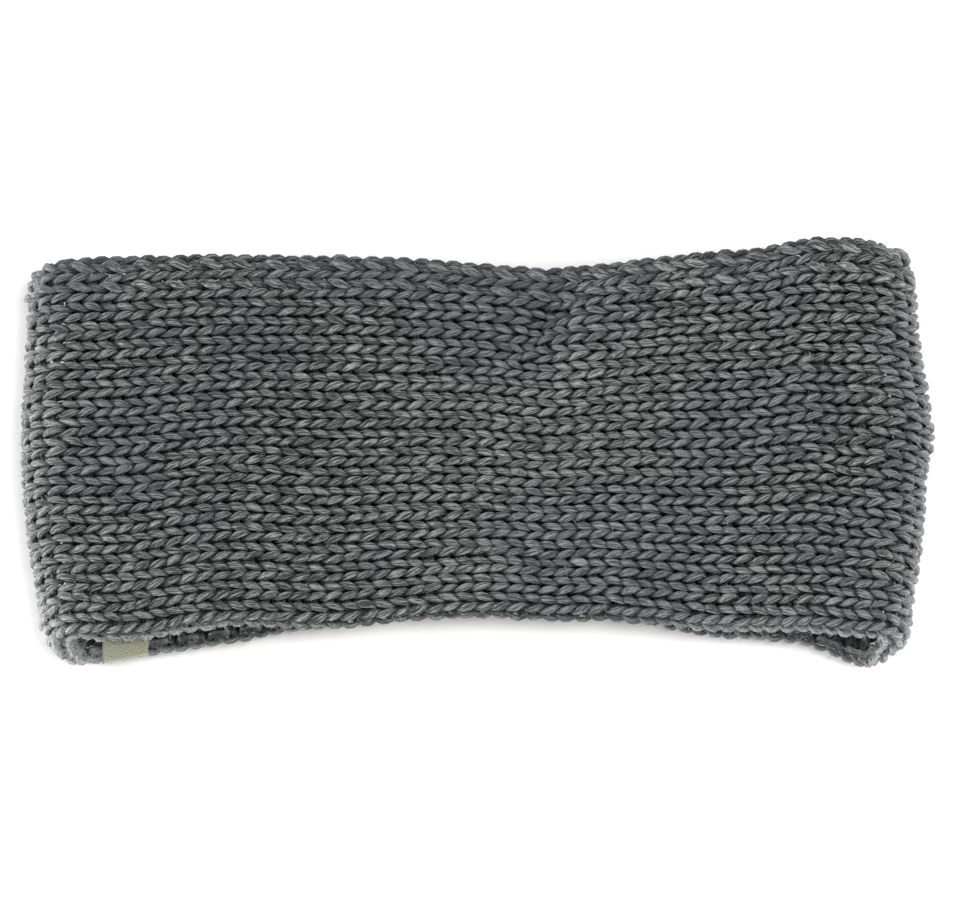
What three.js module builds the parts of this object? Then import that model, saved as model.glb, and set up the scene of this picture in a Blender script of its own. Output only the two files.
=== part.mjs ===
// Ear warmer headband: one chunky knitted strip joined into a loop, lying flattened on a table,
// with a small folded woven label sewn inside the front panel's lower selvedge.
// Millimetres. +X runs along the flat width, +Y across the strip towards its upper selvedge,
// and +Z up from the table. The origin is on the table, under the middle of the whole object.

import * as THREE from 'three';

// Sizes of the band
const FLAT_WIDTH = 240; // over the outsides of the two folds, as it lies
const STRIP_WIDTH = 104; // the knitted strip from selvedge to selvedge
const WALL = 4; // one layer of the knit
const FOLD_THICKNESS = 21; // over both layers, beside a fold
const MIDDLE_THICKNESS = 16; // over both layers, half way between the folds
const FOLD_REACH = 10; // how far along the band a fold takes to bend
const CORNER_REACH = 3; // power that keeps a corner's rounding close to its fold
const CURL = 1; // how far a selvedge rolls towards the inside
const CURL_WIDTH = 9; // how much of the strip rolls

// Sizes of the label
const LABEL_WIDTH = 13.8; // along the selvedge
const LABEL_THICKNESS = 0.9; // both layers of the folded ribbon
const LABEL_TUCK = 8; // how much of it is sewn inside
const LABEL_DROP = 5.2; // how far its left side hangs past the selvedge
const LABEL_SLANT = 2.2; // how much less its right side hangs
const LABEL_FROM_LEFT = 13.4; // from the left end of the front panel to the label's middle
const SEAT_GAP = 0.3; // between the label and the knit it is sewn to

// How finely the surfaces are drawn
const PANEL_STEPS = 33;
const FOLD_STEPS = 8;
const STRIP_STEPS = 18;
const EDGE_CROWDING = 0.45; // how much closer the rows lie beside the selvedges
const RIM_STEPS = 3;
const LABEL_STEPS = 8;
const LABEL_COLUMNS = 4;
const NUDGE = 0.01; // for measuring which way the surface faces

// The selvedges of both panels along the flat width. across runs from -1 at the left fold to 1
// at the right one. The four selvedges are shares of STRIP_WIDTH above its middle line, and
// loft is the share of the way from MIDDLE_THICKNESS to FOLD_THICKNESS.
const SELVEDGES = [
  { across: -1.0, frontTop: 0.46, frontLow: -0.527, backTop: 0.46, backLow: -0.562, loft: 1.0 },
  { across: -0.8, frontTop: 0.469, frontLow: -0.537, backTop: 0.446, backLow: -0.553, loft: 0.92 },
  { across: -0.56, frontTop: 0.48, frontLow: -0.493, backTop: 0.428, backLow: -0.51, loft: 0.52 },
  { across: -0.34, frontTop: 0.481, frontLow: -0.494, backTop: 0.424, backLow: -0.466, loft: 0.2 },
  { across: -0.13, frontTop: 0.474, frontLow: -0.471, backTop: 0.422, backLow: -0.436, loft: 0.04 },
  { across: 0.02, frontTop: 0.463, frontLow: -0.464, backTop: 0.422, backLow: -0.431, loft: 0.0 },
  { across: 0.16, frontTop: 0.451, frontLow: -0.476, backTop: 0.42, backLow: -0.438, loft: 0.0 },
  { across: 0.28, frontTop: 0.464, frontLow: -0.479, backTop: 0.432, backLow: -0.448, loft: 0.04 },
  { across: 0.5, frontTop: 0.49, frontLow: -0.509, backTop: 0.452, backLow: -0.481, loft: 0.28 },
  { across: 0.64, frontTop: 0.496, frontLow: -0.509, backTop: 0.466, backLow: -0.493, loft: 0.56 },
  { across: 0.75, frontTop: 0.519, frontLow: -0.509, backTop: 0.481, backLow: -0.515, loft: 0.76 },
  { across: 0.86, frontTop: 0.518, frontLow: -0.525, backTop: 0.49, backLow: -0.559, loft: 0.94 },
  { across: 1.0, frontTop: 0.498, frontLow: -0.536, backTop: 0.494, backLow: -0.566, loft: 1.0 },
];

// How far out each fold lies up the strip, from 0 at the lower selvedge to 1 at the upper one,
// as shares of half of FLAT_WIDTH.
const FOLDS = [
  { up: 0.0, left: 0.942, right: 0.922 },
  { up: 0.03, left: 0.944, right: 0.937 },
  { up: 0.13, left: 0.956, right: 0.948 },
  { up: 0.29, left: 0.982, right: 0.973 },
  { up: 0.44, left: 0.997, right: 0.985 },
  { up: 0.52, left: 1.0, right: 1.0 },
  { up: 0.62, left: 1.0, right: 0.994 },
  { up: 0.75, left: 0.995, right: 0.977 },
  { up: 0.92, left: 0.992, right: 0.966 },
  { up: 0.97, left: 0.987, right: 0.96 },
  { up: 1.0, left: 0.973, right: 0.944 },
];

// Soft dents and swellings of the front panel. long and wide are half sizes as shares of
// STRIP_WIDTH, lean turns the long way from upright towards the right in degrees, and depth is
// a share of WALL, below nothing where the knit swells.
const DENTS = [
  { across: 0.16, up: 0.84, long: 0.15, wide: 0.05, lean: 45, depth: 0.32 }, // slanting crease
  { across: 0.25, up: 0.78, long: 0.15, wide: 0.07, lean: 40, depth: -0.25 }, // its raised side
  { across: 0.8, up: 0.52, long: 0.22, wide: 0.06, lean: -4, depth: 0.4 }, // beside the right fold
  { across: -0.4, up: 0.35, long: 0.24, wide: 0.2, lean: 60, depth: -0.2 }, // soft swelling
  { across: 0.45, up: 0.3, long: 0.24, wide: 0.2, lean: -60, depth: -0.2 }, // soft swelling
];

const HALF_WIDTH = (FLAT_WIDTH - WALL) / 2;
const PANEL = 2 * (HALF_WIDTH - FOLD_REACH);
const BEND_HEIGHT = (FOLD_THICKNESS - WALL) / 2;
const BEND = (Math.PI * (FOLD_REACH + BEND_HEIGHT)) / 2;
const LOOP = 2 * (PANEL + BEND);

// One column of a table as a smooth curve through its rows.
function smooth(rows, key, column, at) {
  const last = rows.length - 1;
  let i = 0;
  while (i < last - 1 && at > rows[i + 1][key]) i += 1;
  const slope = (a, b) => (rows[b][column] - rows[a][column]) / (rows[b][key] - rows[a][key]);
  const span = rows[i + 1][key] - rows[i][key];
  const s = (at - rows[i][key]) / span;
  const into = span * slope(Math.max(i - 1, 0), i + 1);
  const out = span * slope(i, Math.min(i + 2, last));
  const rise = rows[i + 1][column] - rows[i][column];
  const bend = into + out - 2 * rise;
  return rows[i][column] + s * (into + s * (rise - into + bend * (s - 1)));
}

// How deep the front panel is pressed in at a place, all dents together.
function dentAt(across, up) {
  let depth = 0;
  for (const dent of DENTS) {
    const x = (across - dent.across) * HALF_WIDTH;
    const y = (up - dent.up) * STRIP_WIDTH;
    const lean = THREE.MathUtils.degToRad(dent.lean);
    const alongDent = (x * Math.sin(lean) + y * Math.cos(lean)) / (dent.long * STRIP_WIDTH);
    const acrossDent = (x * Math.cos(lean) - y * Math.sin(lean)) / (dent.wide * STRIP_WIDTH);
    depth += dent.depth * WALL * Math.exp(-(alongDent ** 2) - acrossDent ** 2);
  }
  return depth;
}

// A point in the middle of the wall. along is the way round the loop from the left end of the
// front panel: over the front, round the right fold, back under and round the left fold.
// up runs across the strip from the lower selvedge to the upper one.
function midWall(along, up) {
  const d = THREE.MathUtils.euclideanModulo(along, LOOP);
  let turn = 0;
  let x = d - PANEL / 2;
  if (d > 2 * PANEL + BEND) {
    turn = Math.PI * (1 + (d - 2 * PANEL - BEND) / BEND);
    x = -PANEL / 2 + FOLD_REACH * Math.sin(turn);
  } else if (d > PANEL + BEND) {
    turn = Math.PI;
    x = PANEL / 2 - (d - PANEL - BEND);
  } else if (d > PANEL) {
    turn = (Math.PI * (d - PANEL)) / BEND;
    x = PANEL / 2 + FOLD_REACH * Math.sin(turn);
  }
  const across = x / HALF_WIDTH;
  const front = (1 + Math.cos(turn)) / 2;
  const edge = (column) => smooth(SELVEDGES, 'across', column, across);
  const low = front * edge('frontLow') + (1 - front) * edge('backLow');
  const top = front * edge('frontTop') + (1 - front) * edge('backTop');
  const reach = smooth(FOLDS, 'up', across < 0 ? 'left' : 'right', up);
  const thickness = THREE.MathUtils.lerp(MIDDLE_THICKNESS, FOLD_THICKNESS, edge('loft'));
  const fromEdge = Math.min(up, 1 - up) * STRIP_WIDTH;
  const curl = CURL * Math.max(0, 1 - fromEdge / CURL_WIDTH) ** 2;
  const height = (thickness - WALL - dentAt(across, up)) * front;
  return new THREE.Vector3(
    x - (1 - reach) * HALF_WIDTH * Math.sign(x) * Math.abs(across) ** CORNER_REACH - curl * Math.sin(turn),
    STRIP_WIDTH * (low + (top - low) * up),
    WALL / 2 + height - curl * Math.cos(turn),
  );
}

// The same point with its outward and upward directions.
function frameAt(along, up) {
  const point = midWall(along, up);
  const onward = midWall(along + NUDGE, up).sub(midWall(along - NUDGE, up));
  const upward = midWall(along, up + NUDGE / STRIP_WIDTH).sub(midWall(along, up - NUDGE / STRIP_WIDTH));
  return { point, outward: onward.cross(upward).normalize(), upward: upward.normalize() };
}

// A closed surface over a grid of points whose rows join up end to end.
function surfaceOf(grid, closedRing, caps) {
  const rows = grid.length;
  const columns = grid[0].length;
  const index = [];
  const number = (i, j) => (i % rows) * columns + (j % columns);
  for (let i = 0; i < (closedRing ? rows : rows - 1); i += 1) {
    for (let j = 0; j < columns; j += 1) {
      index.push(number(i, j), number(i + 1, j), number(i + 1, j + 1));
      index.push(number(i, j), number(i + 1, j + 1), number(i, j + 1));
    }
  }
  for (const [a, b, c, d] of caps) index.push(a, b, c, a, c, d);
  const geometry = new THREE.BufferGeometry().setFromPoints(grid.flat());
  geometry.setIndex(index);
  geometry.computeVertexNormals();
  return geometry;
}

// The band: its wall's section, run round the whole loop.
function bandGeometry() {
  const stations = [];
  for (const [start, length, steps] of [
    [0, PANEL, PANEL_STEPS],
    [PANEL, BEND, FOLD_STEPS],
    [PANEL + BEND, PANEL, PANEL_STEPS],
    [2 * PANEL + BEND, BEND, FOLD_STEPS],
  ]) {
    for (let i = 0; i < steps; i += 1) stations.push(start + (length * i) / steps);
  }
  const inset = WALL / 2 / STRIP_WIDTH;
  const section = [];
  for (const face of [1, -1]) {
    for (let i = 0; i <= STRIP_STEPS; i += 1) {
      const step = face > 0 ? i / STRIP_STEPS : 1 - i / STRIP_STEPS;
      const s = step - (EDGE_CROWDING * Math.sin(2 * Math.PI * step)) / (2 * Math.PI);
      section.push({ up: inset + s * (1 - 2 * inset), out: face, lip: 0 });
    }
    for (let i = 1; i < RIM_STEPS; i += 1) {
      const angle = (Math.PI * i) / RIM_STEPS;
      const up = face > 0 ? 1 - inset : inset;
      section.push({ up, out: face * Math.cos(angle), lip: face * Math.sin(angle) });
    }
  }
  const grid = stations.map((along) => section.map(({ up, out, lip }) => {
    const { point, outward, upward } = frameAt(along, up);
    return point.addScaledVector(outward, (out * WALL) / 2).addScaledVector(upward, (lip * WALL) / 2);
  }));
  return surfaceOf(grid, true, []);
}

// The label: a strip against the inner face of the front panel, run out past the selvedge.
function labelGeometry() {
  const near = WALL / 2 + SEAT_GAP;
  const grid = [];
  for (let i = 0; i <= LABEL_STEPS; i += 1) {
    const row = [];
    for (const depth of [near, near + LABEL_THICKNESS]) {
      for (let j = 0; j <= LABEL_COLUMNS; j += 1) {
        const s = depth === near ? j / LABEL_COLUMNS : 1 - j / LABEL_COLUMNS;
        const bottom = -LABEL_DROP + LABEL_SLANT * s;
        const y = THREE.MathUtils.lerp(LABEL_TUCK, bottom, i / LABEL_STEPS);
        const along = LABEL_FROM_LEFT + (s - 1 / 2) * LABEL_WIDTH;
        const { point, outward } = frameAt(along, y / STRIP_WIDTH);
        row.push(point.addScaledVector(outward, -depth));
      }
    }
    grid.push(row);
  }
  const ring = 2 * (LABEL_COLUMNS + 1);
  const end = LABEL_STEPS * ring;
  const caps = [];
  for (let j = 0; j < LABEL_COLUMNS; j += 1) {
    caps.push([j, j + 1, ring - 2 - j, ring - 1 - j]);
    caps.push([end + ring - 1 - j, end + ring - 2 - j, end + j + 1, end + j]);
  }
  return surfaceOf(grid, false, caps);
}

const knit = new THREE.MeshStandardMaterial({ color: 0x5f6463, roughness: 0.95, metalness: 0 });
const band = new THREE.Mesh(bandGeometry(), knit);
band.name = 'knit_band';

const ribbon = new THREE.MeshStandardMaterial({ color: 0x8a8c78, roughness: 0.8, metalness: 0 });
const label = new THREE.Mesh(labelGeometry(), ribbon);
label.name = 'woven_label';

const group = new THREE.Group();
group.add(band, label);
const box = new THREE.Box3().setFromObject(group);
const middle = box.getCenter(new THREE.Vector3());
group.position.set(-middle.x, -middle.y, -box.min.z);

export default group;
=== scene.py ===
import math

import bpy
import numpy as np
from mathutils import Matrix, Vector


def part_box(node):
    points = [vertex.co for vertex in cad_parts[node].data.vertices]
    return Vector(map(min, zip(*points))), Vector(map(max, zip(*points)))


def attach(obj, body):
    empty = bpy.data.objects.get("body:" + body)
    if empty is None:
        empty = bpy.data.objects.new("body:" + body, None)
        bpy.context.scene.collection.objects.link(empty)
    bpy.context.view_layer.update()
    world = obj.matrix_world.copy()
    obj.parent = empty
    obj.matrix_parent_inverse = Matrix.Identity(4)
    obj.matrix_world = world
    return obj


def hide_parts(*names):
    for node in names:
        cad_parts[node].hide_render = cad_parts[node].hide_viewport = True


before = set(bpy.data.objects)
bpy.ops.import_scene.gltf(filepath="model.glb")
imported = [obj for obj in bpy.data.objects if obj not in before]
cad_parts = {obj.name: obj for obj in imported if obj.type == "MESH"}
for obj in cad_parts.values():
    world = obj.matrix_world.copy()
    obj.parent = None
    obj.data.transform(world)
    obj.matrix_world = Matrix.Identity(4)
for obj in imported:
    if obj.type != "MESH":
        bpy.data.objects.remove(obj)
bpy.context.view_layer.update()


# How the strip lies
# The real headband is one hand-wide strip of knitting, joined end to end and laid flat on a
# table: a front panel, a back panel under it and a soft fold at each side. Here are its sizes
# in millimetres and the surface through the middle of its single layer.
FLAT_WIDTH = 240.0
STRIP_WIDTH = 104.0
WALL = 4.0
FOLD_THICKNESS = 21.0
MIDDLE_THICKNESS = 16.0
FOLD_REACH = 10.0
CORNER_REACH = 3.0
CURL = 1.0
CURL_WIDTH = 9.0

# The selvedges of both panels, from -1 at the left fold to 1 at the right one, as shares of
# the strip's width above its middle line. Loft is how much of the folds' thickness is there.
SELVEDGE_COLUMNS = ("across", "front_top", "front_low", "back_top", "back_low", "loft")
SELVEDGES = (
    (-1.0, 0.46, -0.527, 0.46, -0.562, 1.0),
    (-0.8, 0.469, -0.537, 0.446, -0.553, 0.92),
    (-0.56, 0.48, -0.493, 0.428, -0.51, 0.52),
    (-0.34, 0.481, -0.494, 0.424, -0.466, 0.2),
    (-0.13, 0.474, -0.471, 0.422, -0.436, 0.04),
    (0.02, 0.463, -0.464, 0.422, -0.431, 0.0),
    (0.16, 0.451, -0.476, 0.42, -0.438, 0.0),
    (0.28, 0.464, -0.479, 0.432, -0.448, 0.04),
    (0.5, 0.49, -0.509, 0.452, -0.481, 0.28),
    (0.64, 0.496, -0.509, 0.466, -0.493, 0.56),
    (0.75, 0.519, -0.509, 0.481, -0.515, 0.76),
    (0.86, 0.518, -0.525, 0.49, -0.559, 0.94),
    (1.0, 0.498, -0.536, 0.494, -0.566, 1.0),
)

# How far out each fold lies up the strip, as shares of half the flat width.
FOLD_COLUMNS = ("up", "left", "right")
FOLDS = (
    (0.0, 0.942, 0.922),
    (0.03, 0.944, 0.937),
    (0.13, 0.956, 0.948),
    (0.29, 0.982, 0.973),
    (0.44, 0.997, 0.985),
    (0.52, 1.0, 1.0),
    (0.62, 1.0, 0.994),
    (0.75, 0.995, 0.977),
    (0.92, 0.992, 0.966),
    (0.97, 0.987, 0.96),
    (1.0, 0.973, 0.944),
)

# Dents and swellings of the front panel: place across and up, half length and half width as
# shares of the strip's width, lean to the right in degrees, and depth as a share of the wall.
DENTS = (
    (0.16, 0.84, 0.15, 0.05, 45, 0.6),
    (0.25, 0.78, 0.15, 0.07, 40, -0.35),
    (0.8, 0.52, 0.22, 0.06, -4, 0.65),
    (-0.4, 0.35, 0.24, 0.2, 60, -0.2),
    (0.45, 0.3, 0.24, 0.2, -60, -0.2),
)

HALF_WIDTH = (FLAT_WIDTH - WALL) / 2
PANEL = 2 * (HALF_WIDTH - FOLD_REACH)
BEND = math.pi * (FOLD_REACH + (FOLD_THICKNESS - WALL) / 2) / 2
LOOP = 2 * (PANEL + BEND)
NUDGE = 0.01


def smooth(rows, columns, key, column, at):
    """One column of a table as a smooth curve through its rows."""
    keys = np.array([row[columns.index(key)] for row in rows])
    values = np.array([row[columns.index(column)] for row in rows])
    last = len(rows) - 1
    i = np.clip(np.searchsorted(keys, at) - 1, 0, last - 1)
    before = np.maximum(i - 1, 0)
    after = np.minimum(i + 2, last)
    span = keys[i + 1] - keys[i]
    s = (at - keys[i]) / span
    into = span * (values[i + 1] - values[before]) / (keys[i + 1] - keys[before])
    out = span * (values[after] - values[i]) / (keys[after] - keys[i])
    rise = values[i + 1] - values[i]
    bend = into + out - 2 * rise
    return values[i] + s * (into + s * (rise - into + bend * (s - 1)))


def dent_at(across, up):
    """How deep the front panel is pressed in, all dents together."""
    depth = 0.0
    for dent_across, dent_up, long, wide, lean, share in DENTS:
        x = (across - dent_across) * HALF_WIDTH
        y = (up - dent_up) * STRIP_WIDTH
        sine, cosine = math.sin(math.radians(lean)), math.cos(math.radians(lean))
        along_dent = (x * sine + y * cosine) / (long * STRIP_WIDTH)
        across_dent = (x * cosine - y * sine) / (wide * STRIP_WIDTH)
        depth = depth + share * WALL * np.exp(-(along_dent**2) - across_dent**2)
    return depth


def mid_wall(along, up):
    """The middle of the layer, and 1 on the front panel to 0 on the back one. along goes over
    the front from its left end, round the right fold, back under and round the left fold."""
    d = np.mod(along, LOOP)
    right_bend = np.clip((d - PANEL) / BEND, 0, 1)
    left_bend = np.clip((d - 2 * PANEL - BEND) / BEND, 0, 1)
    turn = math.pi * (right_bend + left_bend)
    x = np.where(d < PANEL, d - PANEL / 2, PANEL / 2)
    x = np.where(d > PANEL + BEND, PANEL / 2 - (d - PANEL - BEND), x)
    x = np.maximum(x, -PANEL / 2) + FOLD_REACH * np.sin(turn)
    across = x / HALF_WIDTH
    front = (1 + np.cos(turn)) / 2
    edge = {}
    for name in SELVEDGE_COLUMNS[1:]:
        edge[name] = smooth(SELVEDGES, SELVEDGE_COLUMNS, "across", name, across)
    low = front * edge["front_low"] + (1 - front) * edge["back_low"]
    top = front * edge["front_top"] + (1 - front) * edge["back_top"]
    left = smooth(FOLDS, FOLD_COLUMNS, "up", "left", up)
    right = smooth(FOLDS, FOLD_COLUMNS, "up", "right", up)
    reach = np.where(across < 0, left, right)
    thickness = MIDDLE_THICKNESS + (FOLD_THICKNESS - MIDDLE_THICKNESS) * edge["loft"]
    from_edge = np.minimum(up, 1 - up) * STRIP_WIDTH
    curl = CURL * np.maximum(0, 1 - from_edge / CURL_WIDTH) ** 2
    pull = (1 - reach) * HALF_WIDTH * np.sign(x) * np.abs(across) ** CORNER_REACH
    height = (thickness - WALL - dent_at(across, up)) * front
    place = (
        x - pull - curl * np.sin(turn),
        STRIP_WIDTH * (low + (top - low) * up),
        WALL / 2 + height - curl * np.cos(turn),
    )
    return np.stack(place, axis=-1), front


def unit(vectors):
    """The same directions, each made one long."""
    return vectors / np.linalg.norm(vectors, axis=-1, keepdims=True)


def over_wall(along, up, lift):
    """A point lifted off the middle of the layer, outwards where lift is above nothing."""
    point, front = mid_wall(along, up)
    onward = mid_wall(along + NUDGE, up)[0] - mid_wall(along - NUDGE, up)[0]
    share = NUDGE / STRIP_WIDTH
    upward = mid_wall(along, up + share)[0] - mid_wall(along, up - share)[0]
    return point + unit(np.cross(onward, upward)) * lift[..., None], front


# The form stands in its own coordinates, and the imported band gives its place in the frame.
spread_along, spread_up = np.meshgrid(np.linspace(0, LOOP, 800), np.linspace(0.0, 1.0, 60))
outer, _ = over_wall(spread_along, spread_up, np.full(spread_up.shape, WALL / 2))
lowest, highest = (np.array(corner) * 1000 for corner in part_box("knit_band"))
form_middle = (outer.min(axis=(0, 1)) + outer.max(axis=(0, 1))) / 2
SHIFT = (lowest + highest) / 2 - form_middle
SHIFT[2] = 0.0


# The yarn
# One thick plied yarn makes the whole strip in stockinette, worked from end to end: each
# course runs from selvedge to selvedge through 20 loops, turns there and comes back as the
# next course. The legs of the loops show on the outside, and their heads and feet inside.
COURSES = 114
WALES = 20
COURSE = LOOP / COURSES
TOP_INSET = -0.7
LOW_INSET = -0.7
WALE = (STRIP_WIDTH - TOP_INSET - LOW_INSET) / WALES
STEPS = 18
TURN_STEPS = 10
SIDES = 9

# A loop swings LOOP_REACH to each side along the strip. Its two legs lean outwards by their
# spreads, its head and feet dive HEAD_DEPTH to the inside, and the yarn is thinner between.
LOOP_REACH = 3.75
LEG_SPREADS = (0.238 * WALE, 0.19 * WALE)
LOOP_OPENING = 0.07
LEG_STRAIGHTENING = 0.08
LEG_RADIUS = 1.02
LEG_FULLNESS = 1.08
DIVE_RADIUS = 0.25
HEAD_RADIUS = 0.98
HEAD_DEPTH = 1.6

# Within RIM_WIDTH of the upper selvedge the loops are fuller, and the last leg beside each
# selvedge lies flatter. The yarn bulges a little where it turns to the next course.
RIM_WIDTH = 11.0
RIM_DIVE = 0.55
RIM_HEAD = 0.3
RIM_LEVEL = 0.55
# RIM_DARKER is painted shade on the last leg beside the upper selvedge
RIM_DARKER = 2.0
LOW_RIM_LEVEL = 0.25
LOW_RIM_THINNER = 0.2
TURN_BULGE = 0.5
TURN_LIFT = 0.4

# The knit strays from straight in waves: the size in millimetres, how many waves go round the
# loop, the length across over which one turns by a radian, and where it starts.
COURSE_WAVES = (
    (0.45, 0, 9.5, 0.9),
    (0.3, 1, 4.1, 0.0),
)
RIDGE_WAVES = (
    (0.3, 4, 23.0, 0.0),
    (0.15, 10, 11.0, 0.0),
)

# Both selvedges roll towards the inside, further at the two lower corners. The lower one also
# hangs further out in places. Swells are a middle along the loop, a spread and a size.
TOP_ROLL = 4.8
LOW_ROLL = 6.3
ROLL_RADIUS = 4.4
CORNER_WIDTH = 2.2
CORNER_ROLLS = (
    (LOOP - BEND / 2 - 8, 16.0, 1.0),
    (PANEL + BEND / 2 + 4, 9.0, 0.6),
)
LOW_SHIFTS = (
    (LOOP - BEND / 2 - 10, 13.0, 4.0),
    (LOOP - BEND - 44, 16.0, 0.9),
    (PANEL + BEND + 44, 14.0, 1.9),
    (PANEL + BEND + 28, 10.0, 0.6),
    (PANEL + BEND - 6, 9.0, 2.7),
    (PANEL / 2 + 50, 24.0, -1.1),
)
# The front may stand this much higher than its solid, but the back stays flat on the table
FRONT_RISE = 3.0

# The second leg of the two loops nearest the upper selvedge, by turns long and raised or
# short and tucked in. lift and radius are added in millimetres, and fullness keeps the leg on
# top for longer where it is small.
LONG_LEG = {"lift": 0.6, "radius": 0.26, "spread": 0.4, "fullness": 0.42}
SHORT_LEG = {"lift": -0.15, "radius": 0.06, "spread": -0.1, "fullness": 0.9}

# At the crease below the upper selvedge the courses are squeezed together, by this far at most
CREASE_ACROSS, CREASE_UP, _, _, CREASE_LEAN, _ = DENTS[0]
CREASE_LONG = 17.0
CREASE_WIDE = 8.0
CREASE_PULL = 1.2
CREASE_MUDDLE = 0.9
# CREASE_LIGHTER paints light and shade on the crease's two slopes
CREASE_LIGHTER = 2.5

# Where the front panel is painted a little darker: the left half of it, and the valley near its
# right end, whose darkening is painted shade. Each is its middle, half width and half height in
# millimetres, and how much darker.
DARK_PARTS = (
    (-55.0, 0.0, 34.0, 60.0, 2.4),
    (96.0, 10.0, 10.0, 22.0, 1.6),
)
# TOP_DARKER paints the front panel darker near the upper selvedge, as painted shade
TOP_DARKER = 1.1

rng = np.random.default_rng(20)
legs = {
    "lift": 0.14 * rng.standard_normal((COURSES, 2 * WALES)),
    "radius": 0.06 * rng.standard_normal((COURSES, 2 * WALES)),
    "spread": 0.13 * rng.standard_normal((COURSES, 2 * WALES)),
    "onward": 0.28 * rng.standard_normal((COURSES, 2 * WALES)),
    "sideways": 0.17 * rng.standard_normal((COURSES, 2 * WALES)),
    "fullness": np.full((COURSES, 2 * WALES), LEG_FULLNESS),
    "tone_and_painted_light": 0.65 * rng.standard_normal((COURSES, 2 * WALES)),
}
for leg in (1, 3):
    for parity, change in ((0, LONG_LEG), (1, SHORT_LEG)):
        for name in ("lift", "radius", "spread"):
            legs[name][parity::2, leg] += change[name]
        legs["fullness"][parity::2, leg] = change["fullness"]
legs["spread"][:, 0] -= RIM_LEVEL
# The last leg beside the upper selvedge is painted darker, as shade where it turns away from the light
legs["tone_and_painted_light"][:, 0] -= RIM_DARKER
legs["spread"][:, -1] -= LOW_RIM_LEVEL
legs["radius"][:, -1] -= LOW_RIM_THINNER


def from_crease(along, across):
    """A place as shares of the crease's half length and half width from its middle."""
    x = along - PANEL / 2 - CREASE_ACROSS * HALF_WIDTH
    y = (1 - CREASE_UP) * STRIP_WIDTH - across
    sine, cosine = math.sin(math.radians(CREASE_LEAN)), math.cos(math.radians(CREASE_LEAN))
    return (x * sine + y * cosine) / CREASE_LONG, (x * cosine - y * sine) / CREASE_WIDE


def at_crease(along, across):
    """1 in the middle of the crease to 0 away from it."""
    down, off = from_crease(along, across)
    return np.exp(-(down**2) - off**2)


def squeeze(along, across):
    """How far a place is pulled back along the loop, towards the line of the crease."""
    down, off = from_crease(along, across)
    return CREASE_PULL * off * np.exp(0.5 - off**2 / 2 - down**2)


def course_path(number):
    """One course from the upper selvedge down: along the loop, across from the selvedge,
    lift, radius, and tone with painted light and shade."""
    step = np.arange(STEPS * WALES + 1)
    theta = 2 * math.pi * step / STEPS
    leg = np.minimum(step // (STEPS // 2), 2 * WALES - 1)
    own = {name: values[number][leg] for name, values in legs.items()}
    crown = np.sin(theta) ** 2
    own_spread = np.where(leg % 2 == 0, *LEG_SPREADS)
    spread = sum(LEG_SPREADS) / 2 * (1 - crown) + (own_spread + own["spread"]) * crown
    swing = np.sin(2 * theta) - LEG_STRAIGHTENING * np.sin(6 * theta)
    across = WALE * theta / (2 * math.pi) + spread * swing - LOOP_OPENING * np.sin(theta)
    along = (number + 0.5) * COURSE - LOOP_REACH * np.cos(theta)
    muddle = 1 + CREASE_MUDDLE * at_crease(along, across)
    along = along + own["onward"] * crown * muddle
    across = across + own["sideways"] * crown * muddle
    round_loop = 2 * math.pi * number / COURSES
    for size, waves, turn_length, start in COURSE_WAVES:
        along = along + size * np.sin(across / turn_length + start + waves * round_loop)
    for size, waves, turn_length, start in RIDGE_WAVES:
        across = across + size * np.sin(waves * round_loop + across / turn_length + start)
    along = along - squeeze(along, across)
    near_rim = np.clip(1 - across / RIM_WIDTH, 0, 1)
    dive = 2 * (DIVE_RADIUS + RIM_DIVE * near_rim) * crown * (1 - crown)
    head = HEAD_RADIUS + RIM_HEAD * near_rim
    radius = head * (1 - crown) ** 2 + dive + (LEG_RADIUS + own["radius"]) * crown**2
    leg_lift = WALL / 2 - LEG_RADIUS + own["lift"]
    lift = -HEAD_DEPTH + (leg_lift + HEAD_DEPTH) * crown ** own["fullness"]
    return np.stack([along, across, lift, radius, own["tone_and_painted_light"] * crown], axis=-1)


def turn_path(start, end, outward):
    """The yarn's turn at a selvedge, between the ends of two courses."""
    s = np.arange(1, TURN_STEPS)[:, None] / TURN_STEPS
    path = start + (end - start) * s
    hump = (4 * s * (1 - s))[:, 0]
    path[:, 1] += outward * TURN_BULGE * hump
    path[:, 2] += TURN_LIFT * hump
    return path


path = []
piece_ends = {}
for number in range(COURSES):
    rows = course_path(number)
    following = course_path((number + 1) % COURSES)
    if number == COURSES - 1:
        following[:, 0] += LOOP
    piece_ends[number] = len(path)
    if number % 2 == 0:
        path.extend(rows)
        path.extend(turn_path(rows[-1], following[-1], 1))
    else:
        path.extend(rows[::-1])
        path.extend(turn_path(rows[0], following[0], -1))
path = np.array(path)


def low_swell(rows, along, across):
    """The sum of soft swells along the lower selvedge, each as its middle, spread and size."""
    total = 0.0
    for middle, spread, size in rows:
        off = np.mod(along - middle + LOOP / 2, LOOP) - LOOP / 2
        total = total + size * np.exp(-((off / spread) ** 2))
    return total * (across > WALE * WALES / 2)


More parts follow.
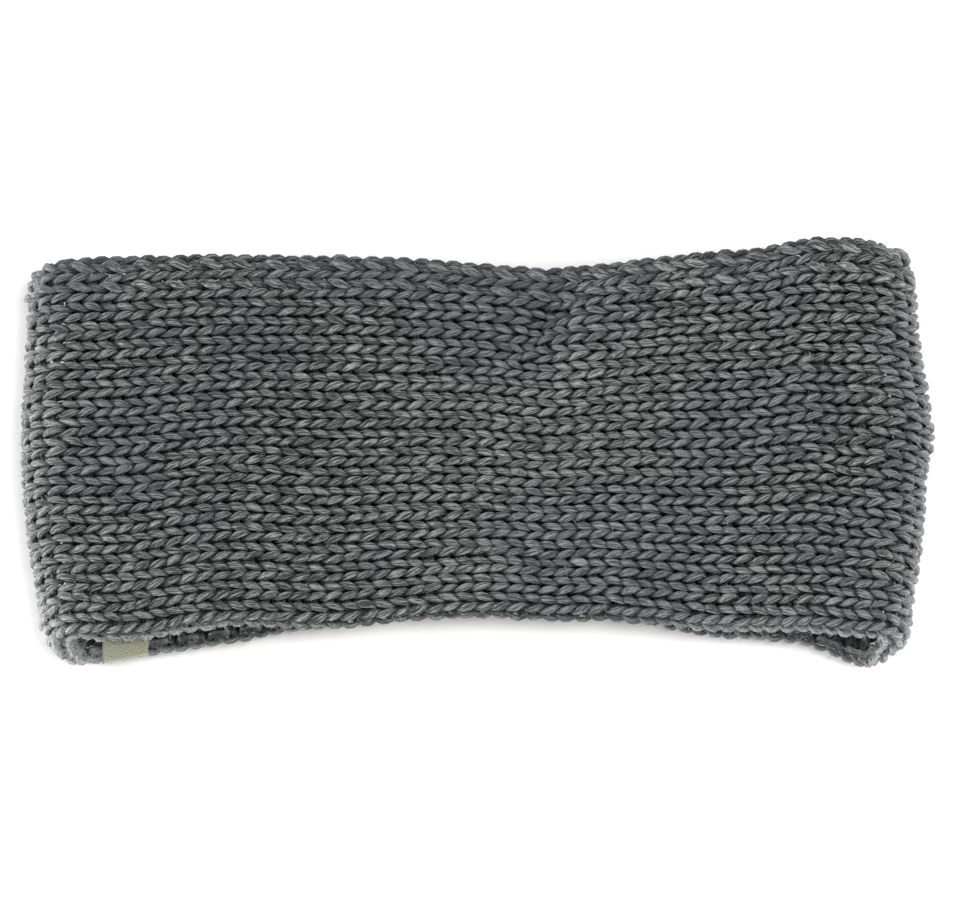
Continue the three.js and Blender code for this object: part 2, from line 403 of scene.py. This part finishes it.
def place_yarn(along, across, lift):
    """A place in the knit, with both selvedges rolled towards the inside."""
    width = WALE * WALES
    from_edge = np.minimum(across, width - across)
    more = low_swell(CORNER_ROLLS, along, across)
    shift = low_swell(LOW_SHIFTS, along, across) * (1 - 2 * from_edge / width) ** 2
    roll_width = np.where(across < width / 2, TOP_ROLL, LOW_ROLL + CORNER_WIDTH * more)
    angle = np.maximum(0, roll_width - from_edge) / ROLL_RADIUS
    rolled = roll_width - (ROLL_RADIUS + lift) * np.sin(angle)
    inset = np.where(across < width / 2, TOP_INSET, LOW_INSET - shift)
    in_from_rim = inset + np.where(angle > 0, rolled, from_edge)
    rolled_lift = (ROLL_RADIUS + lift) * np.cos(angle) - ROLL_RADIUS
    share = in_from_rim / STRIP_WIDTH
    up = np.where(across < width / 2, 1 - share, share)
    return over_wall(along, up, rolled_lift)


along, across, lift, radius, tone_and_painted_light = path.T
_, front = place_yarn(along, across, lift)
lift = np.minimum(lift, WALL / 2 - radius + FRONT_RISE * front)
centre, _ = place_yarn(along, across, lift)
above, _ = place_yarn(along, across, lift + NUDGE)
below, _ = place_yarn(along, across, lift - NUDGE)
outward = unit(above - below)
tangent = unit(np.roll(centre, -1, axis=0) - np.roll(centre, 1, axis=0))
outward = unit(outward - tangent * np.sum(outward * tangent, axis=1, keepdims=True))
sideways = np.cross(tangent, outward)
length = np.concatenate([[0], np.cumsum(np.linalg.norm(np.diff(centre, axis=0), axis=1))])

angles = 2 * math.pi * np.arange(SIDES) / SIDES
rings = (
    centre[:, None]
    + radius[:, None, None] * np.cos(angles)[None, :, None] * outward[:, None]
    + radius[:, None, None] * np.sin(angles)[None, :, None] * sideways[:, None]
)
rings = (rings + SHIFT) / 1000

# The two plies turn once round each other in PLY_LENGTH of yarn
PLY_LENGTH = 37.0
ply_angle = angles[None, :] + 2 * math.pi * length[:, None] / PLY_LENGTH
# The crease is painted lighter on one side and darker on the other: painted light and shade on its two
# slopes
down_crease, off_crease = from_crease(along, across)
beside_crease = off_crease * np.exp(0.5 - off_crease**2 / 2 - down_crease**2)
tone_and_painted_light = tone_and_painted_light + front * CREASE_LIGHTER * beside_crease
for dark_x, dark_y, wide, high, darker in DARK_PARTS:
    off = ((centre[:, 0] - dark_x) / wide) ** 2 + ((centre[:, 1] - dark_y) / high) ** 2
    tone_and_painted_light = tone_and_painted_light - front * darker * np.exp(-off)

# Shade is 1 in the depth of the knit, between the legs outside and the heads inside
SHADE_HEIGHT = -0.35
SHADE_REACH = 0.95
HIGHLIGHT_LIFTS_SHADE = 0.8

# Bloom is pale nap with a painted highlight. The folds, the lower corners and the lower selvedge,
# where it grows from the middle outwards, are painted paler as though lit edge-on. The shaded
# hollows of the lower corners are painted light, and the painted shade is lifted there
FOLD_NAP_AND_HIGHLIGHT = 0.56
RIGHT_FOLD_MORE = 1.05
LOW_NAP_AND_HIGHLIGHT = 0.6
LOW_FRONT_NAP_AND_HIGHLIGHT = 1.1
LOW_HIGHLIGHT_ZONE = 2.4
PALE_FROM = 0.3
PALE_OVER = 0.25
CORNER_NAP_AND_LIGHT = 1.9
CORNER_ZONE = 12.0
MOST_NAP_AND_HIGHLIGHT = 1.8

# Cool is a painted bluish cast of cool light near the upper selvedge, where the front panel is also
# painted darker as shade
COOL_ZONE = 22.0

height = lift[:, None] + radius[:, None] * np.cos(angles)[None, :]
shade = np.exp(-(((height - SHADE_HEIGHT) / SHADE_REACH) ** 2))
on_fold = 4 * front * (1 - front) * np.where(centre[:, 0] < 0, 1.0, RIGHT_FOLD_MORE)
from_low = WALE * WALES - across
corner = low_swell(CORNER_ROLLS, along, across) * np.exp(-((from_low / CORNER_ZONE) ** 2))
at_low = np.exp(-((from_low / LOW_HIGHLIGHT_ZONE) ** 2))
outwards = np.clip((np.abs(centre[:, 0]) / HALF_WIDTH - PALE_FROM) / PALE_OVER, 0, 1)
low_nap_and_highlight = at_low * outwards * (LOW_NAP_AND_HIGHLIGHT + LOW_FRONT_NAP_AND_HIGHLIGHT * front)
# The painted highlight: paler at the folds, along the lower selvedge and into the shaded lower corners
nap_and_painted_highlight = np.clip(FOLD_NAP_AND_HIGHLIGHT * on_fold + low_nap_and_highlight + CORNER_NAP_AND_LIGHT * corner, 0, MOST_NAP_AND_HIGHLIGHT)
# Under the painted highlight the painted shade is lifted
cleared = np.clip(corner + at_low * front * outwards, 0, 1)
shade = shade * (1 - HIGHLIGHT_LIFTS_SHADE * cleared)[:, None]
cool = np.exp(-((across / COOL_ZONE) ** 2))
tone_and_painted_light = tone_and_painted_light - front * TOP_DARKER * cool
fibre = np.stack(
    [
        np.repeat(length[:, None], SIDES, axis=1),
        LEG_RADIUS * np.cos(ply_angle),
        LEG_RADIUS * np.sin(ply_angle),
    ],
    axis=-1,
)


def linear(colour):
    """The linear values of an sRGB hex colour."""
    parts = [int(colour[i : i + 2], 16) / 255 for i in (1, 3, 5)]
    return [c / 12.92 if c <= 0.04045 else ((c + 0.055) / 1.055) ** 2.4 for c in parts] + [1.0]


def add_node(material, kind, inputs=(), **settings):
    """Adds a node with its settings. An input is a value or the socket that feeds it."""
    made = material.node_tree.nodes.new(kind)
    for name, value in settings.items():
        setattr(made, name, value)
    for name, value in dict(inputs).items():
        if isinstance(value, bpy.types.NodeSocket):
            material.node_tree.links.new(value, made.inputs[name])
        else:
            made.inputs[name].default_value = value
    return made


# Plied acrylic and wool yarn: dull and soft, with light and dark fibres drawn lengthwise and a
# slow twist. Its colour also holds painted light: a pale nap of loose fibre painted as a highlight
# where the band is seen edge-on and in its lower corners, painted shade in the depth of the knit,
# and painted light and shade on some legs and parts of the panel. Real fibres are 0.02 mm thick,
# so they are drawn as bundles, each a length and a width in millimetres.
COARSE_BUNDLE = (5.5, 0.36)
FINE_BUNDLE = (2.2, 0.19)
BUNDLE_RELIEF = 0.0013
TINT_SHARE = 0.02
COOL_SHARE = 0.1

# In lengths to the metre: bluish patches about 36 mm across and tufts of nap of 0.7 mm
PATCH_SCALE = 28.0
TUFT_SCALE = 1400.0

yarn = bpy.data.materials.new("plied_wool_blend_yarn")
yarn.use_nodes = True
yarn.node_tree.nodes.clear()
strand = add_node(yarn, "ShaderNodeAttribute", attribute_name="fibre")
leg_tone_and_light = add_node(yarn, "ShaderNodeAttribute", attribute_name="tone_and_painted_light")
place = add_node(yarn, "ShaderNodeNewGeometry")
coarse_place = add_node(
    yarn,
    "ShaderNodeVectorMath",
    {
        0: strand.outputs["Vector"],
        1: (1 / COARSE_BUNDLE[0], 1 / COARSE_BUNDLE[1], 1 / COARSE_BUNDLE[1]),
    },
    operation="MULTIPLY",
)
fine_place = add_node(
    yarn,
    "ShaderNodeVectorMath",
    {
        0: strand.outputs["Vector"],
        1: (1 / FINE_BUNDLE[0], 1 / FINE_BUNDLE[1], 1 / FINE_BUNDLE[1]),
    },
    operation="MULTIPLY",
)
coarse = add_node(
    yarn, "ShaderNodeTexNoise", {"Vector": coarse_place.outputs[0], "Scale": 1.0, "Detail": 1.0}
)
fine = add_node(
    yarn, "ShaderNodeTexNoise", {"Vector": fine_place.outputs[0], "Scale": 1.0, "Detail": 1.0}
)
streaks = add_node(
    yarn, "ShaderNodeMath", {0: coarse.outputs["Fac"], 1: fine.outputs["Fac"]}, operation="ADD"
)
tinted = add_node(
    yarn,
    "ShaderNodeMath",
    {0: leg_tone_and_light.outputs["Fac"], 1: TINT_SHARE, 2: streaks.outputs[0]},
    operation="MULTIPLY_ADD",
)
mixing = add_node(
    yarn,
    "ShaderNodeMapRange",
    {"Value": tinted.outputs[0], "From Min": 0.87, "From Max": 1.13, "To Min": 0.0, "To Max": 1.0},
    interpolation_type="SMOOTHSTEP",
)
grey = add_node(
    yarn,
    "ShaderNodeMix",
    {0: mixing.outputs[0], 6: linear("#2a302f"), 7: linear("#9aa19e")},
    data_type="RGBA",
)
patch_noise = add_node(
    yarn,
    "ShaderNodeTexNoise",
    {"Vector": place.outputs["Position"], "Scale": PATCH_SCALE, "Detail": 2.0},
)
cool_attribute = add_node(yarn, "ShaderNodeAttribute", attribute_name="cool")
cooler = add_node(
    yarn,
    "ShaderNodeMath",
    {0: cool_attribute.outputs["Fac"], 1: COOL_SHARE, 2: patch_noise.outputs["Fac"]},
    operation="MULTIPLY_ADD",
)
patches = add_node(
    yarn,
    "ShaderNodeMapRange",
    {"Value": cooler.outputs[0], "From Min": 0.5, "From Max": 0.72, "To Min": 0.0, "To Max": 0.42},
)
bluish = add_node(
    yarn,
    "ShaderNodeMix",
    {0: patches.outputs[0], 6: grey.outputs[2], 7: linear("#565b68")},
    data_type="RGBA",
)
highlight_attribute = add_node(yarn, "ShaderNodeAttribute", attribute_name="nap_and_painted_highlight")
painted_highlight_share = add_node(
    yarn,
    "ShaderNodeMapRange",
    {
        "Value": highlight_attribute.outputs["Fac"],
        "From Min": 0.0,
        "From Max": MOST_NAP_AND_HIGHLIGHT,
        "To Min": 0.0,
        "To Max": 1.0,
    },
)
tufts = add_node(
    yarn,
    "ShaderNodeTexNoise",
    {"Vector": place.outputs["Position"], "Scale": TUFT_SCALE, "Detail": 2.0},
)
unevenly = add_node(
    yarn,
    "ShaderNodeMapRange",
    {"Value": tufts.outputs["Fac"], "From Min": 0.36, "From Max": 0.64, "To Min": 0.3, "To Max": 1.4},
)
tufted_highlight = add_node(
    yarn, "ShaderNodeMath", {0: painted_highlight_share.outputs[0], 1: unevenly.outputs[0]}, operation="MULTIPLY"
)
# The pale nap colour mixed in as a painted highlight
with_painted_highlight = add_node(
    yarn,
    "ShaderNodeMix",
    {0: tufted_highlight.outputs[0], 6: bluish.outputs[2], 7: linear("#babdbe")},
    data_type="RGBA",
)
shade_attribute = add_node(yarn, "ShaderNodeAttribute", attribute_name="shade")
depth = add_node(
    yarn,
    "ShaderNodeMapRange",
    {
        "Value": shade_attribute.outputs["Fac"],
        "From Min": 0.0,
        "From Max": 1.0,
        "To Min": 0.0,
        "To Max": 0.95,
    },
)
shaded = add_node(
    yarn,
    "ShaderNodeMix",
    {0: depth.outputs[0], 6: with_painted_highlight.outputs[2], 7: linear("#070808")},
    data_type="RGBA",
)
relief = add_node(
    yarn,
    "ShaderNodeBump",
    {"Height": streaks.outputs[0], "Strength": 1.0, "Distance": BUNDLE_RELIEF},
)
wool = add_node(
    yarn,
    "ShaderNodeBsdfPrincipled",
    {
        "Base Color": shaded.outputs[2],
        "Roughness": 0.86,
        "IOR": 1.5,
        "Specular IOR Level": 0.3,
        "Sheen Weight": 0.12,
        "Sheen Roughness": 0.4,
        "Normal": relief.outputs["Normal"],
    },
)
add_node(yarn, "ShaderNodeOutputMaterial", {"Surface": wool.outputs[0]})

# The stretches of yarn, each a run of whole courses, from the first to the one before the last
STRETCHES = {
    "front_panel_left_courses": (0, 25),
    "front_panel_right_courses": (25, 50),
    "right_fold_courses": (50, 57),
    "back_panel_right_courses": (57, 82),
    "back_panel_left_courses": (82, 107),
    "left_fold_courses": (107, 114),
}


def yarn_mesh(name, first, last):
    """The yarn between two numbers of its path as one closed tube."""
    chosen = np.arange(first, last + 1) % len(path)
    count = len(chosen)
    ring = np.arange(SIDES)
    start = (np.arange(count - 1) * SIDES)[:, None]
    beside = (ring + 1) % SIDES
    onward = start + SIDES
    faces = np.stack([start + ring, start + beside, onward + beside, onward + ring], axis=-1)
    faces = faces.reshape(-1, 4).tolist()
    faces.append(ring[::-1].tolist())
    faces.append(((count - 1) * SIDES + ring).tolist())
    mesh = bpy.data.meshes.new(name)
    mesh.from_pydata(rings[chosen].reshape(-1, 3).tolist(), [], faces)
    mesh.polygons.foreach_set("use_smooth", [True] * len(mesh.polygons))
    strand_values = fibre[chosen].copy()
    if last == len(path):
        strand_values[-1, :, 0] = length[-1]
    fibres = mesh.attributes.new("fibre", "FLOAT_VECTOR", "POINT")
    fibres.data.foreach_set("vector", strand_values.ravel())
    # Random tone of each leg, with painted light and shade added to it
    tone_values = mesh.attributes.new("tone_and_painted_light", "FLOAT", "POINT")
    tone_values.data.foreach_set("value", np.repeat(tone_and_painted_light[chosen], SIDES))
    shades = mesh.attributes.new("shade", "FLOAT", "POINT")
    shades.data.foreach_set("value", shade[chosen].ravel())
    highlight_values = mesh.attributes.new("nap_and_painted_highlight", "FLOAT", "POINT")
    highlight_values.data.foreach_set("value", np.repeat(nap_and_painted_highlight[chosen], SIDES))
    cools = mesh.attributes.new("cool", "FLOAT", "POINT")
    cools.data.foreach_set("value", np.repeat(cool[chosen], SIDES))
    mesh.update()
    return mesh


piece_ends[COURSES] = len(path)
for name, (first, last) in STRETCHES.items():
    mesh = yarn_mesh(name, piece_ends[first], piece_ends[last])
    mesh.materials.append(yarn)
    stretch = bpy.data.objects.new(name, mesh)
    bpy.context.collection.objects.link(stretch)
    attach(stretch, "root")
    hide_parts("knit_band")


# The loose fibres
# Single hairs of the soft yarn stand off it all over. They catch the light where the band is
# seen edge-on, at its folds and along its selvedges, and blur its outline there.
FIBRES = 15000
FIBRE_RADIUS = 0.045
FIBRE_LENGTHS = (0.7, 1.9)
ROOT_DEPTH = 0.85
LOWEST_ROOT = 2.0
FROM_TABLE = 0.3

# How likely a fibre stands on the open panels, at the folds, the selvedges and the corners
PANEL_SHARE = 0.15
FOLD_SHARE = 11.0
SELVEDGE_SHARE = 10.0
SELVEDGE_ZONE = 4.0
CORNER_SHARE = 32.0

# How far fibres scatter round the yarn in radians, lean along it, and stray as they go
AROUND_YARN = 1.1
OUT_OF_YARN = (0.3, 1.0)
ALONG_YARN = (-1.2, 1.2)
STRAY = 0.3
BEND_STRAY = 0.7

knit_width = WALE * WALES
from_selvedge = np.minimum(across, knit_width - across)
at_selvedge = np.clip(1 - from_selvedge / SELVEDGE_ZONE, 0, 1)
chance = PANEL_SHARE + FOLD_SHARE * on_fold + SELVEDGE_SHARE * at_selvedge + CORNER_SHARE * corner
chance = chance * (centre[:, 2] > LOWEST_ROOT)
roots = rng.choice(len(path), FIBRES, p=chance / chance.sum())
around = rng.normal(0, AROUND_YARN, FIBRES)
root_out = outward[roots] * np.cos(around)[:, None] + sideways[roots] * np.sin(around)[:, None]
heading = unit(
    root_out * rng.uniform(*OUT_OF_YARN, (FIBRES, 1))
    + tangent[roots] * rng.uniform(*ALONG_YARN, (FIBRES, 1))
    + STRAY * rng.standard_normal((FIBRES, 3))
)
bend_to = unit(heading + BEND_STRAY * rng.standard_normal((FIBRES, 3)))
reach = rng.uniform(*FIBRE_LENGTHS, (FIBRES, 1))
fibre_root = centre[roots] + ROOT_DEPTH * radius[roots, None] * root_out
fibre_points = np.stack(
    [
        fibre_root,
        fibre_root + 0.3 * reach * heading,
        fibre_root + reach * (0.5 * heading + 0.15 * bend_to),
        fibre_root + reach * (0.6 * heading + 0.4 * bend_to),
    ],
    axis=1,
)
fibre_points = fibre_points[fibre_points[:, :, 2].min(axis=1) > FROM_TABLE]
count = len(fibre_points)
fibre_way = unit(fibre_points[:, 3] - fibre_points[:, 0])
fibre_side = unit(np.cross(fibre_way, np.array([0.31, 0.47, 0.83])))
fibre_back = np.cross(fibre_way, fibre_side)
# A fibre is a root, a tip and two triangles round the points between them
fibre_vertices = [fibre_points[:, 0], fibre_points[:, 3]]
for point, thickness in ((1, 1.0), (2, 0.8)):
    for third in range(3):
        turn = 2 * math.pi * third / 3
        off = fibre_side * math.cos(turn) + fibre_back * math.sin(turn)
        fibre_vertices.append(fibre_points[:, point] + FIBRE_RADIUS * thickness * off)
fibre_vertices = (np.stack(fibre_vertices, axis=1) + SHIFT) / 1000
one_fibre = []
for third in range(3):
    onward = (third + 1) % 3
    one_fibre.append((0, 2 + onward, 2 + third))
    one_fibre.append((2 + third, 2 + onward, 5 + onward))
    one_fibre.append((2 + third, 5 + onward, 5 + third))
    one_fibre.append((1, 5 + third, 5 + onward))
fibre_faces = np.array(one_fibre)[None] + 8 * np.arange(count)[:, None, None]

# A single acrylic or wool fibre: pale, thin enough to glow a little against the light
hair = bpy.data.materials.new("loose_wool_blend_fibre")
hair.use_nodes = True
hair.node_tree.nodes.clear()
hair_shade = add_node(
    hair,
    "ShaderNodeBsdfPrincipled",
    {"Base Color": linear("#b4b8b6"), "Roughness": 0.7, "IOR": 1.5, "Specular IOR Level": 0.3},
)
add_node(hair, "ShaderNodeOutputMaterial", {"Surface": hair_shade.outputs[0]})

hair_mesh = bpy.data.meshes.new("loose_fibres")
hair_mesh.from_pydata(fibre_vertices.reshape(-1, 3).tolist(), [], fibre_faces.reshape(-1, 3).tolist())
hair_mesh.materials.append(hair)
hair_mesh.update()
hairs = bpy.data.objects.new("loose_fibres", hair_mesh)
bpy.context.collection.objects.link(hairs)
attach(hairs, "root")


# The label
# A small woven ribbon folded in two. Its cut ends are sewn to the inside of the front panel
# near the left fold, and its folded end hangs out past the lower selvedge. Its face is bare.
LABEL_WIDTH = 13.3
LABEL_FROM_LEFT = 13.1
LABEL_TUCK = 7.0
LABEL_DROP = 4.5
LABEL_SLANT = 1.7
RIBBON = 0.35
RIBBON_GAP = 0.08
LABEL_DEPTHS = (2.6, 4.3, 4.3)
LABEL_BOW = 0.25
FOLD_HIGHLIGHT_WIDTH = 0.45
LEFT_EDGE_SHADOW = (0.1, 0.6)
ACROSS_RIBBON = 24
ALONG_RIBBON = 40
FOLD_STEPS = 8


def label_profile(drop):
    """The middle line of the ribbon, as (down from the selvedge, below the label's face): down
    the face, round the fold at the free end and up the back. drop is where it is folded."""
    bend = (RIBBON + RIBBON_GAP) / 2
    down = np.linspace(-LABEL_TUCK, drop - bend, ALONG_RIBBON)
    turn = np.linspace(0, math.pi, FOLD_STEPS + 2)[1:-1]
    fold = np.stack([down[-1] + bend * np.sin(turn), bend - bend * np.cos(turn)], axis=1)
    face = np.stack([down, np.zeros(ALONG_RIBBON)], axis=1)
    back = np.stack([down[::-1], np.full(ALONG_RIBBON, 2 * bend)], axis=1)
    return np.concatenate([face, fold, back])


def label_place(s, profile):
    """The middle of the ribbon at the share s of its width, for a profile's points."""
    start = np.array([LABEL_FROM_LEFT - LABEL_WIDTH / 2, LABEL_FROM_LEFT + LABEL_WIDTH / 2])
    rim, _ = mid_wall(start, np.zeros(2))
    rim = rim[0] + (rim[1] - rim[0]) * s
    depth = np.interp(profile[:, 0], (-LABEL_TUCK, -1.0, LABEL_DROP), LABEL_DEPTHS)
    bow = LABEL_BOW * np.sin(math.pi * s) * np.interp(profile[:, 0], (-1.0, LABEL_DROP), (0, 1))
    place = np.empty((len(profile), 3))
    place[:, 0] = rim[0]
    place[:, 1] = rim[1] - profile[:, 0]
    place[:, 2] = rim[2] - depth - profile[:, 1] + bow
    return place


def label_mesh(name):
    """The ribbon with its thickness, as one closed mesh."""
    vertices = []
    weave = []
    for column in range(ACROSS_RIBBON + 1):
        s = column / ACROSS_RIBBON
        profile = label_profile(LABEL_DROP - LABEL_SLANT * s)
        middle = label_place(s, profile)
        onward = unit(np.gradient(middle, axis=0))
        normal = np.cross(onward, np.array([1.0, 0.0, 0.0]))
        run = np.concatenate([[0], np.cumsum(np.linalg.norm(np.diff(middle, axis=0), axis=1))])
        # Where the ribbon folds it is painted paler: a painted highlight on the rounded fold
        fold_highlight = np.exp(-(((run - run[-1] / 2) / FOLD_HIGHLIGHT_WIDTH) ** 2))
        for side in (-1, 1):
            vertices.extend((middle + SHIFT + side * normal * RIBBON / 2) / 1000)
            weave.extend(zip(np.full(len(run), s * LABEL_WIDTH), run, fold_highlight))
    rows = len(middle)
    faces = []
    for column in range(ACROSS_RIBBON):
        left = column * 2 * rows
        right = left + 2 * rows
        for row in range(rows - 1):
            faces.append((left + row, right + row, right + row + 1, left + row + 1))
            lower = left + rows + row
            faces.append((lower, lower + 1, lower + 2 * rows + 1, lower + 2 * rows))
        faces.append((left, left + rows, right + rows, right))
        faces.append((left + rows - 1, right + rows - 1, right + 2 * rows - 1, left + 2 * rows - 1))
    for row in range(rows - 1):
        faces.append((row, row + 1, rows + row + 1, rows + row))
        last = ACROSS_RIBBON * 2 * rows + row
        faces.append((last, last + rows, last + rows + 1, last + 1))
    mesh = bpy.data.meshes.new(name)
    mesh.from_pydata([tuple(vertex) for vertex in vertices], [], faces)
    mesh.polygons.foreach_set("use_smooth", [True] * len(mesh.polygons))
    places = mesh.attributes.new("weave", "FLOAT_VECTOR", "POINT")
    places.data.foreach_set("vector", np.array(weave).ravel())
    mesh.update()
    return mesh


# Woven polyester ribbon: a fine grain of threads, a faint gloss, a painted shadow along its left
# edge and a paler fold that is a painted highlight. The real threads are about 0.2 mm apart, which
# is too fine to show, so they are drawn at 0.4 mm, with uneven threads every 0.3 mm.
THREAD = 0.4
SLUB_SCALE = 3.4
THREAD_SHARE = 0.1
THREAD_RELIEF = 0.00025
ribbon = bpy.data.materials.new("woven_polyester_ribbon")
ribbon.use_nodes = True
ribbon.node_tree.nodes.clear()
weave_place = add_node(ribbon, "ShaderNodeAttribute", attribute_name="weave")
weave_parts = add_node(ribbon, "ShaderNodeSeparateXYZ", {"Vector": weave_place.outputs["Vector"]})
threads = []
for axis in ("X", "Y"):
    turns = add_node(
        ribbon,
        "ShaderNodeMath",
        {0: weave_parts.outputs[axis], 1: math.pi / THREAD},
        operation="MULTIPLY",
    )
    threads.append(add_node(ribbon, "ShaderNodeMath", {0: turns.outputs[0]}, operation="SINE"))
crossings = add_node(
    ribbon, "ShaderNodeMath", {0: threads[0].outputs[0], 1: threads[1].outputs[0]}, operation="MULTIPLY"
)
slub = add_node(
    ribbon,
    "ShaderNodeTexNoise",
    {"Vector": weave_place.outputs["Vector"], "Scale": SLUB_SCALE, "Detail": 2.0},
)
grain = add_node(
    ribbon,
    "ShaderNodeMath",
    {0: crossings.outputs[0], 1: THREAD_SHARE, 2: slub.outputs["Fac"]},
    operation="MULTIPLY_ADD",
)
weave_shade = add_node(
    ribbon,
    "ShaderNodeMapRange",
    {"Value": grain.outputs[0], "From Min": 0.3, "From Max": 0.66, "To Min": 0.0, "To Max": 1.0},
)
olive = add_node(
    ribbon,
    "ShaderNodeMix",
    {0: weave_shade.outputs[0], 6: linear("#3a3c31"), 7: linear("#989a84")},
    data_type="RGBA",
)
# The painted highlight on the fold
fold_highlight_share = add_node(
    ribbon,
    "ShaderNodeMapRange",
    {
        "Value": weave_parts.outputs["Z"],
        "From Min": 0.0,
        "From Max": 1.0,
        "To Min": 0.0,
        "To Max": 0.35,
    },
)
highlighted_olive = add_node(
    ribbon,
    "ShaderNodeMix",
    {0: fold_highlight_share.outputs[0], 6: olive.outputs[2], 7: linear("#b9bbae")},
    data_type="RGBA",
)
# A painted shadow darkens the ribbon along its left edge only
left_edge_shadow_share = add_node(
    ribbon,
    "ShaderNodeMapRange",
    {
        "Value": weave_parts.outputs["X"],
        "From Min": LEFT_EDGE_SHADOW[0],
        "From Max": LEFT_EDGE_SHADOW[1],
        "To Min": 0.8,
        "To Max": 0.0,
    },
)
shadowed_olive = add_node(
    ribbon,
    "ShaderNodeMix",
    {0: left_edge_shadow_share.outputs[0], 6: highlighted_olive.outputs[2], 7: linear("#1d1f17")},
    data_type="RGBA",
)
thread_relief = add_node(
    ribbon,
    "ShaderNodeBump",
    {"Height": grain.outputs[0], "Strength": 0.6, "Distance": THREAD_RELIEF},
)
polyester = add_node(
    ribbon,
    "ShaderNodeBsdfPrincipled",
    {
        "Base Color": shadowed_olive.outputs[2],
        "Roughness": 0.55,
        "IOR": 1.5,
        "Specular IOR Level": 0.4,
        "Normal": thread_relief.outputs["Normal"],
    },
)
add_node(ribbon, "ShaderNodeOutputMaterial", {"Surface": polyester.outputs[0]})

tag_mesh = label_mesh("folded_ribbon_label")
tag_mesh.materials.append(ribbon)
tag = bpy.data.objects.new("folded_ribbon_label", tag_mesh)
bpy.context.collection.objects.link(tag)
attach(tag, "root")
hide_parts("woven_label")


# The table
# The headband lies on a smooth matt white sheet that runs past the picture on all sides.
TABLE_HALF = 3.0
table_mesh = bpy.data.meshes.new("table_top")
table_mesh.from_pydata(
    [(x * TABLE_HALF, y * TABLE_HALF, 0.0) for x, y in ((-1, -1), (1, -1), (1, 1), (-1, 1))],
    [],
    [(0, 1, 2, 3)],
)

# Matt white board: even and without gloss, so that only the soft shadow shows
matt_white = bpy.data.materials.new("matt_white_board")
matt_white.use_nodes = True
matt_white.node_tree.nodes.clear()
board = add_node(
    matt_white, "ShaderNodeBsdfPrincipled", {"Base Color": linear("#f3f3f2"), "Roughness": 0.9}
)
add_node(matt_white, "ShaderNodeOutputMaterial", {"Surface": board.outputs[0]})
table_mesh.materials.append(matt_white)
table_top = bpy.data.objects.new("table_top", table_mesh)
bpy.context.collection.objects.link(table_top)


# The camera
# It looks down on the front panel from 16 degrees off the vertical, on the lower side.
# It aims at the middle of the panel, and AIM_UP moves the picture up along its own height.
ELEVATION = math.radians(74)
DISTANCE = 1.5
AIM = (0.000656, 0.0009, 0.010)
AIM_UP = -0.000393
camera = bpy.data.objects.new("camera", bpy.data.cameras.new("camera"))
bpy.context.collection.objects.link(camera)
aim = (
    AIM[0],
    AIM[1] + AIM_UP * math.sin(ELEVATION),
    AIM[2] + AIM_UP * math.cos(ELEVATION),
)
camera.location = (
    aim[0],
    aim[1] - DISTANCE * math.cos(ELEVATION),
    aim[2] + DISTANCE * math.sin(ELEVATION),
)
camera.rotation_euler = (math.pi / 2 - ELEVATION, 0, 0)
camera.data.sensor_width = 36.0
camera.data.lens = 214.5
camera.data.clip_start = 0.05
camera.data.clip_end = 20.0
bpy.context.scene.camera = camera


# The lights
# Large soft boxes above and at both sides, as round a small thing photographed on white.
# Each is its place, its side in metres and its power.
LIGHTS = (
    ("box_above", (0.35, -0.2, 1.35), 0.6, 12.5),
    ("box_left", (-1.2, -0.05, 0.27), 0.7, 38.0),
    ("box_right", (1.2, 0.0, 0.36), 0.6, 19.0),
    ("box_front", (0.1, -1.3, 0.3), 0.8, 7.5),
)
for name, spot, size, power in LIGHTS:
    lamp = bpy.data.lights.new(name, "AREA")
    lamp.shape = "SQUARE"
    lamp.size = size
    lamp.energy = power
    holder = bpy.data.objects.new(name, lamp)
    bpy.context.collection.objects.link(holder)
    holder.location = spot
    reach = math.dist(spot, (0, 0, 0))
    tilt = math.acos(spot[2] / reach)
    holder.rotation_euler = (tilt, 0, math.atan2(spot[1], spot[0]) + math.pi / 2)

sky = bpy.data.worlds.new("pale_room")
sky.use_nodes = True
room = sky.node_tree.nodes["Background"]
room.inputs["Color"].default_value = (1.0, 1.0, 1.0, 1.0)
room.inputs["Strength"].default_value = 0.12
bpy.context.scene.world = sky
bpy.context.scene.view_settings.view_transform = "Standard"
